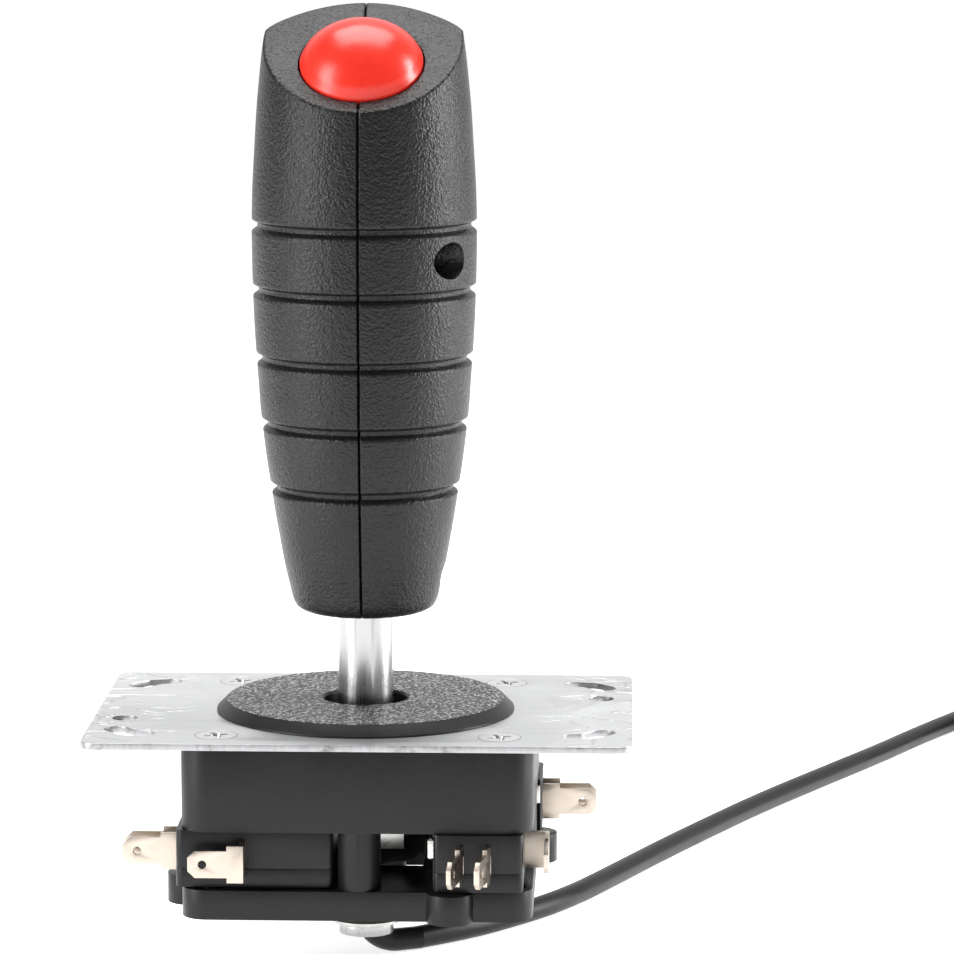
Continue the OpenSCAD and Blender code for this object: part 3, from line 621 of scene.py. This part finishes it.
def grip_half(side, name, holes):
    # heights of the rows on the side wall
    zs = [19.4, 19.8, 20.3, 20.9, 21.6]
    z = 22.8
    top_side = 94.0
    while z < top_side:
        zs.append(z)
        z += 1.3
    extra = []
    for g in GROOVES:
        extra += [g + d for d in (-1.7, -1.3, -1.1, -0.97, -0.85, -0.72, -0.6, -0.5, -0.4, -0.2, 0.0, 0.2, 0.31, 0.42, 0.48, 0.55, 0.61, 0.68, 0.75, 0.82, 0.91, 1.0, 1.3)]
    zs = [v for v in zs if all(abs(v - g + 0.15) > 1.75 for g in GROOVES)] + extra + [top_side]
    zs = sorted(set(round(v, 4) for v in zs))
    # columns: angles from the front seam round to the back seam
    xs_edge = [SEAM, SEAM + 0.05, SEAM + 0.12, SEAM + 0.20, SEAM + 0.30, SEAM + 0.5]
    angs = [math.asin(x / 19.0) for x in xs_edge]
    mids = list(np.linspace(angs[-1], math.pi - angs[-1], 84))
    cols = [("x", x, 0) for x in xs_edge[:-1]] + [("a", a, 0) for a in mids] + [("x", x, 1) for x in reversed(xs_edge[:-1])]

    def seam_sink(x):
        return 0.55 * max(0.0, 1 - (x - SEAM) / 0.26) ** 1.3

    def place(col, r, z):
        """A point of radius r on this column, as x (positive here), y, z."""
        kind, v, back = col
        if kind == "x":
            rr = max(r - seam_sink(v), 0.3)
            x = min(v, rr * 0.999)
            y = math.sqrt(max(rr * rr - x * x, 0.0)) * (1 if back else -1)
        else:
            x, y = r * math.sin(v), -r * math.cos(v)
            if x < SEAM:
                x = SEAM
        return np.array([x, y, z])

    verts = []
    n_c = len(cols)
    rows = []
    # bottom: inner ring round the shaft, then the rounded foot
    for r, z in [(5.02, 18.4 + 3.0), (5.02, 18.4 + 0.4), (5.3, 18.4), (8.0, 18.4), (10.2, 18.42), (10.9, 18.52), (11.5, 18.74), (12.0, 19.05)]:
        rows.append([place(c, r, z) for c in cols])
    for z in zs:
        r = outer_r(z)
        rows.append([place(c, r - groove_cut(z), z) for c in cols])
    # above: along the profile to the facet, over a small round edge, and across the facet to the button's opening
    prof = [(z_, r_) for z_, r_ in body_prof if z_ > top_side] + smooth_profile([(122.2, 17.78), (122.7, 17.60), (123.2, 17.1), (124.1, 15.7), (125.3, 13.2), (126.4, 10.5), (127.4, 7.6), (128.1, 4.6), (128.5, 0.4)], 4)[4:]
    prof = [(top_side, outer_r(top_side))] + prof
    nz, fr = 26, 0.55
    btn = np.array([0.0, -7.2, 117.5])
    fy, fz = np.array([0, math.cos(FA), math.sin(FA)]), np.array([0, -math.sin(FA), math.cos(FA)])
    fx = np.array([1.0, 0, 0])
    tops = [[] for _ in range(nz + 6 + 9 + 3)]
    for c in cols:
        pts = [place(c, r_, z_) for z_, r_ in prof]
        h = [float((p - btn) @ fz) for p in pts]
        # the place where this meridian meets the facet
        e, i = pts[-1], len(pts) - 1
        for i in range(len(pts) - 1):
            if h[i] < 0 <= h[i + 1]:
                t = h[i] / (h[i] - h[i + 1])
                e = pts[i] * (1 - t) + pts[i + 1] * t
                break
        path = pts[:i + 1] + [e]
        seg = [0.0]
        for a, b in zip(path[:-1], path[1:]):
            seg.append(seg[-1] + float(np.linalg.norm(b - a)))
        total = seg[-1]

        def at(s):
            s = min(max(s, 0.0), total)
            j = max(k for k in range(len(seg)) if seg[k] <= s + 1e-12)
            if j >= len(path) - 1:
                return path[-1]
            u = (s - seg[j]) / max(seg[j + 1] - seg[j], 1e-9)
            return path[j] * (1 - u) + path[j + 1] * u

        d2 = np.array([float((e - btn) @ fx), float((e - btn) @ fy)])
        hole = 11.15
        x_h = d2[0] / np.linalg.norm(d2) * hole
        if c[0] == "x":
            x_h = c[1]
        y_h = math.copysign(math.sqrt(max(hole * hole - x_h * x_h, 0)), d2[1])
        he = btn + fx * x_h + fy * y_h
        inward = he - e
        gap = float(np.linalg.norm(inward))
        inward = inward / gap
        rnd = min(fr, gap * 0.4)
        start = at(total - rnd)
        mid_end = e + inward * rnd
        for k in range(nz):
            tops[k].append(at((total - rnd) * (k + 1) / nz))
        for k in range(6):
            t = (k + 1) / 6
            tops[nz + k].append((1 - t) ** 2 * start + 2 * t * (1 - t) * e + t * t * mid_end)
        sink = seam_sink(c[1]) if c[0] == "x" else 0.0
        for k in range(9):
            t = (k + 1) / 9
            p = mid_end * (1 - t) + (he - inward * 0.30) * t
            if c[0] == "x":
                p = p.copy()
                p[0] = c[1]
            tops[nz + 6 + k].append(p - fz * sink * (1.0 if k > 0 else 0.6))
        tops[nz + 15].append(he - inward * 0.10 - fz * (0.08 + sink))
        tops[nz + 16].append(he - fz * (0.30 + sink))
        tops[nz + 17].append(he - fz * 5.5)
    rows += tops
    for row in rows:
        verts += [np.array([p[0] * side, p[1], p[2]]) * MM for p in row]
    faces = []
    for j in range(len(rows) - 1):
        for i in range(n_c - 1):
            a, b, c_, d = j * n_c + i, j * n_c + i + 1, (j + 1) * n_c + i + 1, (j + 1) * n_c + i
            faces.append((a, b, c_, d))
    # close it through an inner skin on the seam plane, so that the half is a solid
    core = [(8.0, 24.0), (8.0, 60.0), (8.0, 104.0)]
    front = [j * n_c for j in range(len(rows))]
    back = [j * n_c + n_c - 1 for j in range(len(rows))]
    base_i = len(verts)
    last, first = (len(rows) - 1) * n_c, 0
    # inner skin: from the button well's rim straight down to the shaft's opening
    faces_inner = []
    steps = 6
    ring0 = [np.array(verts[last + i]) for i in range(n_c)]
    ring1 = [np.array(verts[first + i]) for i in range(n_c)]
    prev = [last + i for i in range(n_c)]
    inner_rows = []
    for s_ in range(1, steps):
        t = s_ / steps
        cur = []
        for i in range(n_c):
            p = ring0[i] * (1 - t) + ring1[i] * t
            cur.append(len(verts))
            verts.append(p)
        inner_rows.append(cur)
        for i in range(n_c - 1):
            faces_inner.append((prev[i], prev[i + 1], cur[i + 1], cur[i]))
        prev = cur
    for i in range(n_c - 1):
        faces_inner.append((prev[i], prev[i + 1], first + i + 1, first + i))
    faces += faces_inner
    for edge, ii in ((front, 0), (back, n_c - 1)):
        loop = edge + [r[ii] for r in inner_rows]
        faces.append(tuple(loop if ii == 0 else reversed(loop)))
    ob = mesh_object(name, verts, faces, M["grip"], 40.0)
    bm = bmesh.new()
    bm.from_mesh(ob.data)
    bmesh.ops.triangulate(bm, faces=[f for f in bm.faces if len(f.verts) > 4])
    bmesh.ops.recalc_face_normals(bm, faces=bm.faces[:])
    bm.to_mesh(ob.data)
    bm.free()
    cutters = []
    for y, z, r0, depth in holes:
        # a plain cylindrical cutter of radius r0 from 6.5 mm to 30 mm out, turned to lie along X
        prof_c = [(0, 6.5), (r0, 6.5), (r0, 30.0), (0, 30.0)]
        cu = lathe("cutter", prof_c, M["grip"], Matrix.Translation((0, y * MM, z * MM)) @ Matrix.Rotation(rad(90), 4, "Y"), 48, 30.0, closed=False)
        cu.data.update()
        cutters.append(cu)
    if cutters:
        cut(ob, cutters)
        if len(ob.data.materials) == 0:
            ob.data.materials.append(M["grip"])
    smooth(ob, 40.0)
    return ob


left = grip_half(-1, "grip_half_left", [])
on(left, "stick", "grip_left", slot="grip_black")
right_ = grip_half(1, "grip_half_right", [(-12, 82.9, 3.3, 6.5), (11.5, 89.5, 3.3, 6.5), (11, 45, 3.3, 6.5), (0, 24.6, 2.9, 10.2)])
on(right_, "stick", "grip_right", slot="grip_black")

# ---------------------------------------------------------------- thumb button
facet_m = Matrix.Translation((0, -7.2 * MM, (122.4 - 7.2 * math.tan(FA)) * MM)) @ Matrix.Rotation(FA, 4, "X")
R, H = 10.9, 6.6
cap = [(R, 0.3), (R - 0.35, 0.95), (0.90 * R, 0.34 * H), (0.78 * R, 0.54 * H), (0.62 * R, 0.73 * H), (0.44 * R, 0.87 * H), (0.23 * R, 0.965 * H), (0.0, H)]
cap = [(float(p[0]), float(p[1])) for p in catmull([(a, b, 0) for a, b in cap], 6)]
cap[-1] = (0.0, H)
skirt = [(0.0, -9.6), (2.2, -9.6), (2.4, -9.4), (2.4, -2.6), (10.2, -2.6), (10.2, -4.6), (12.9, -4.6), (12.9, -3.6), (R, -3.6)]
cap = [(max(0.0, min(R, a)), min(b, H)) for a, b in cap]
button = lathe("thumb_button_cap", skirt + cap, M["button"], facet_m, 160, 40.0, closed=False)
on(button, "thumb_button", "fire_button", slot="button_red")

# ---------------------------------------------------------------- dust disc
disc_out = [(7.6, -1.15), (12.95, -1.15), (12.95, 0.0), (27.0, 0.0), (27.0, 0.35), (25.1, 2.2), (8.0, 2.2), (7.6, 1.8)]
disc = lathe("dust_disc_body", rounded(disc_out, 0.18, 4), M["disc"], None, 192, 40.0)
disc.data.materials.append(M["disc_edge"])
for p in disc.data.polygons:
    r_ = math.hypot(p.center[0], p.center[1])
    if r_ > 0.02515 or r_ < 0.00795 or p.center[2] < 0.0021:
        p.material_index = 1
on(disc, "base", "dust_disc", slot="disc_plastic")

# ---------------------------------------------------------------- mounting plate
def outline_rr(l, w, r, n=10):
    pts = []
    for cx, cy, a0 in ((l / 2 - r, w / 2 - r, 0), (-l / 2 + r, w / 2 - r, 90), (-l / 2 + r, -w / 2 + r, 180), (l / 2 - r, -w / 2 + r, 270)):
        pts += [(cx + r * math.cos(rad(a0 + 90 * i / n)), cy + r * math.sin(rad(a0 + 90 * i / n))) for i in range(n + 1)]
    return pts


def circle_pts(x, y, r, n=48):
    return [(x + r * math.cos(2 * math.pi * i / n), y + r * math.sin(2 * math.pi * i / n)) for i in range(n)]


def bent_slot(a, b, c, w, sx, sy):
    t1, t2 = math.atan2(b[1] - a[1], b[0] - a[0]), math.atan2(c[1] - b[1], c[0] - b[0])
    tm, h = (t1 + t2) / 2, w / 2
    mm_ = h / math.cos((t2 - t1) / 2)
    pts = [(c[0] + h * math.cos(t2 + rad(k)), c[1] + h * math.sin(t2 + rad(k))) for k in range(-90, 91, 9)]
    pts.append((b[0] + mm_ * math.cos(tm + rad(90)), b[1] + mm_ * math.sin(tm + rad(90))))
    pts += [(a[0] + h * math.cos(t1 + rad(k)), a[1] + h * math.sin(t1 + rad(k))) for k in range(90, 271, 9)]
    pts.append((b[0] + mm_ * math.cos(tm - rad(90)), b[1] + mm_ * math.sin(tm - rad(90))))
    return [(x * sx, y * sy) for x, y in pts]


def sheet_plate(name, outer, holes, z0, z1, bevel, mat):
    """A flat plate with holes and softly rounded edges."""
    cu = bpy.data.curves.new(name, "CURVE")
    cu.dimensions = "2D"
    cu.fill_mode = "BOTH"
    for pts in [outer] + holes:
        sp = cu.splines.new("POLY")
        sp.points.add(len(pts) - 1)
        for q, p in zip(sp.points, pts):
            q.co = (p[0] * MM, p[1] * MM, 0, 1)
        sp.use_cyclic_u = True
    cu.extrude = ((z1 - z0) / 2 - bevel) * MM
    cu.bevel_depth = bevel * MM
    cu.bevel_resolution = 2
    cu.offset = -bevel * MM
    tmp = bpy.data.objects.new(name + "_tmp", cu)
    scene.collection.objects.link(tmp)
    dg = bpy.context.evaluated_depsgraph_get()
    me = bpy.data.meshes.new_from_object(tmp.evaluated_get(dg))
    bpy.data.objects.remove(tmp)
    me.transform(Matrix.Translation((0, 0, (z0 + z1) / 2 * MM)))
    bm = bmesh.new()
    bm.from_mesh(me)
    bmesh.ops.remove_doubles(bm, verts=bm.verts[:], dist=1e-6)
    bmesh.ops.recalc_face_normals(bm, faces=bm.faces[:])
    bm.to_mesh(me)
    bm.free()
    ob = bpy.data.objects.new(name, me)
    scene.collection.objects.link(ob)
    me.materials.clear()
    me.materials.append(mat)
    smooth(ob, 30.0)
    return ob


plate_holes = [circle_pts(0, 0, 13, 96)]
for sx in (-1, 1):
    for sy in (-1, 1):
        plate_holes.append(bent_slot((38.2, 23.6), (40.8, 22.9), (43.2, 19.9), 4.5, sx, sy))
for s_ in (-1, 1):
    plate_holes.append(circle_pts(s_ * 42.8, s_ * 10.3, 2.25))
for x in (-25, 25):
    for y in (-24.5, 24.5):
        plate_holes.append(circle_pts(x, y, 3.84))
plate = sheet_plate("plate_sheet", outline_rr(97, 65, 3), plate_holes, -1.2, 0.0, 0.09, M["plate"])
plate.data.materials.append(M["plate_edge"])
for p_ in plate.data.polygons:
    if abs(p_.normal.z) < 0.35:
        p_.material_index = 1
on(plate, "base", "mounting_plate", slot="zinc_steel")
# the pressed countersinks round the screws
for i, (x, y) in enumerate([(-25, -24.5), (25, -24.5), (25, 24.5), (-25, 24.5)]):
    ring = lathe("plate_countersink_%d" % i, [(3.90, -0.02), (3.84, -0.03), (2.22, -1.0), (2.22, -1.19), (3.95, -1.19)], M["plate_edge"], Matrix.Translation((x * MM, y * MM, 0)), 64, 40.0)
    on(ring, "base", slot="zinc_steel")

# ---------------------------------------------------------------- the other moulded and pressed parts, with softened edges
refine("upper_housing", "housing_shell", M["housing"], 0.30)
refine("base_plate", "base_shell", M["base"], 0.25)
refine("switch_cases", "switch_shells_upper", M["switch"], 0.14)
refine("switch_covers", "switch_shells_lower", M["switch"], 0.14)
refine("switch_terminals", "switch_tabs", M["tab"], 0.07)
refine("plate_screws", "countersunk_screws", M["screw"], 0.06)
refine("base_screws", "pan_head_screws", M["screw"], 0.10)
refine("grip_screws", "grip_fixing_screws", M["black_steel"], 0.08)
refine("clamp_screw", "grip_clamp_screw", M["black_steel"], 0.08)
refine("actuator", "actuator_cone", M["nylon_black"], 0.15)
refine("end_washer", "shaft_washer", M["nylon_black"], 0.10)
refine("e_clip", "retaining_clip", M["pin"], 0.08)
refine("spring_seat", "spring_seat_ring", M["nylon_white"], 0.10)
refine("pivot_ball", "gimbal_ball", M["nylon_white"], 0.12)
refine("shaft", "hollow_shaft", M["shaft"], 0.12)
for k_ in ("front", "right", "back", "left"):
    refine("lever_" + k_, "lever_strip_" + k_, M["lever"], 0.05)
    refine("plunger_" + k_, "plunger_pin_" + k_, M["plunger_red"], 0.10)
refine("grip_switch", "trigger_switch", M["switch"], 0.12)
refine("grip_switch_plunger", "trigger_switch_pin", M["plunger_red"], 0.08)
refine("grip_switch_tabs", "trigger_switch_tabs", M["tab"], 0.05)
tie = refine("lead_tie", "lead_tie_band", M["nylon_black"], 0.10)
sleeve = refine("lead_sleeve", "lead_heatshrink", M["nylon_black"], 0.10)
spades = refine("spade_connectors", "spade_receptacles", M["tab"], 0.06)

# blades, pins and the lead's inner part stay as CAD pieces with their own finishes
for node_, mt in (("snap_blades", "copper"), ("pivot_pins", "pin"), ("lead_inner", "lead")):
    ob_ = frame["nodes"][node_]
    ob_.data.materials.clear()
    ob_.data.materials.append(M[mt])


def helix(r, z0, z1, turns, n=36, matrix=None):
    out = []
    for i in range(int(turns * n) + 1):
        a = 2 * math.pi * i / n
        p = Vector((r * math.cos(a), r * math.sin(a), z0 + (z1 - z0) * i / (turns * n))) * MM
        out.append(np.array(matrix @ p if matrix is not None else p))
    return out


cs = tube("centring_coil", helix(7.6, -18.3, -24.4, 4), 0.0006, M["spring"], 10)
on(cs, "stick", "centring_spring", slot="spring_steel")
bs = tube("button_coil", helix(10.6, -10.35, -4.95, 3.5, 36, facet_m), 0.0003, M["spring"], 8)
on(bs, "stick", "button_spring", slot="spring_steel")
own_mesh(bs)
wa = [(-1.0, 0, 70.5), (-1.4, 0.2, 76), (-1.5, 0, 84), (-0.9, -0.8, 91), (-0.9, 0.9, 95.2)]
wb = [(1.0, 0, 70.5), (1.6, 0.2, 77), (1.7, 2.0, 86), (1.2, 8, 94), (0.9, 13.6, 98.6)]
w1 = tube("grip_wire_red", [q * MM for q in catmull(wa, 8)], 0.0006, M["wire_red"], 12)
w2 = tube("grip_wire_black", [q * MM for q in catmull(wb, 8)], 0.0006, M["wire_black"], 12)
on(w1, "stick", "grip_wires", slot="wire_pvc")
on(w2, "stick", slot="wire_pvc")


def tail_at(s, u=0.0, w=0.0):
    """A point along the tail: s mm on, u mm sideways, w mm up."""
    q = tail_o + tail_d * (12 + s) * MM
    side = np.array([tail_d[1], -tail_d[0]])
    return np.array([q[0] + side[0] * u * MM, q[1] + side[1] * u * MM, LZ + w * MM])


t1 = tube("lead_core_red", [tail_at(20.9 + t, -1 - 2.6 * (1 - math.cos(rad(t * 15))) / 2, -1.2) for t in np.arange(0, 12.01, 0.75)], 0.0008, M["wire_red"], 12)
t2 = tube("lead_core_black", [tail_at(20.9 + t, 1 + 2.6 * (1 - math.cos(rad(t * 15))) / 2, -1.2) for t in np.arange(0, 12.01, 0.75)], 0.0008, M["wire_black"], 12)
on(t1, "base", "lead_wires", slot="wire_pvc")
on(t2, "base", slot="wire_pvc")

# ---------------------------------------------------------------- floor, light
def floor_material():
    k = Mat("studio_floor")
    nz_ = k.noise(6.0, 3.0, 0.5)
    k.link(k.mix(k.ramp(nz_, [(0.3, 0.0), (0.7, 1.0)]), (0.90, 0.90, 0.90), (0.93, 0.93, 0.93)), k.b.inputs["Base Color"])
    k.link(k.ramp(nz_, [(0.3, 0.85), (0.7, 0.95)]), k.b.inputs["Roughness"])
    k.link(k.bump(k.noise(900.0, 2.0, 0.5), 0.000004, 0.4), k.b.inputs["Normal"])
    k.b.inputs["Specular IOR Level"].default_value = 0.1
    k.b.inputs["Emission Color"].default_value = (1.0, 1.0, 1.0, 1.0)
    k.b.inputs["Emission Strength"].default_value = 0.72
    return k.m


fl = mesh_object("studio_floor", [(-6, -4, FLOOR), (6, -4, FLOOR), (6, 8, FLOOR), (-6, 8, FLOOR)], [(0, 1, 2, 3)], floor_material(), 30.0)

world = scene.world or bpy.data.worlds.new("world")
scene.world = world
world.use_nodes = True
wt = world.node_tree
bg = next((n_ for n_ in wt.nodes if n_.type == "BACKGROUND"), None) or wt.nodes.new("ShaderNodeBackground")
tc = wt.nodes.new("ShaderNodeTexCoord")
sp = wt.nodes.new("ShaderNodeSeparateXYZ")
wt.links.new(tc.outputs["Generated"], sp.inputs[0])
mr = wt.nodes.new("ShaderNodeMapRange")
mr.interpolation_type = "SMOOTHSTEP"
mr.inputs["From Min"].default_value = 0.3
mr.inputs["From Max"].default_value = 1.0
mr.inputs["To Min"].default_value = 0.20
mr.inputs["To Max"].default_value = 1.0
wt.links.new(sp.outputs[1], mr.inputs["Value"])
wt.links.new(mr.outputs[0], bg.inputs[1])
bg.inputs[0].default_value = (1.0, 1.0, 1.0, 1.0)


def area(name, loc, target, size, size_y, power, col=(1, 1, 1)):
    la = bpy.data.lights.new(name, "AREA")
    la.shape = "RECTANGLE"
    la.size, la.size_y, la.energy, la.color = size, size_y, power, col
    ob = bpy.data.objects.new(name, la)
    scene.collection.objects.link(ob)
    d = Vector(target) - Vector(loc)
    ob.matrix_world = Matrix.Translation(loc) @ d.to_track_quat("-Z", "Y").to_matrix().to_4x4()
    return ob


area("key_left", (-0.86, -0.50, 0.28), (0, 0, 0.06), 0.42, 0.95, 11.0)
area("fill_right", (0.92, 0.12, 0.26), (0, 0, 0.06), 0.24, 0.90, 12.0)
area("overhead", (0.0, 0.22, 0.95), (0, 0, 0.0), 0.8, 0.6, 9.0)
scene.view_settings.view_transform = "Standard"
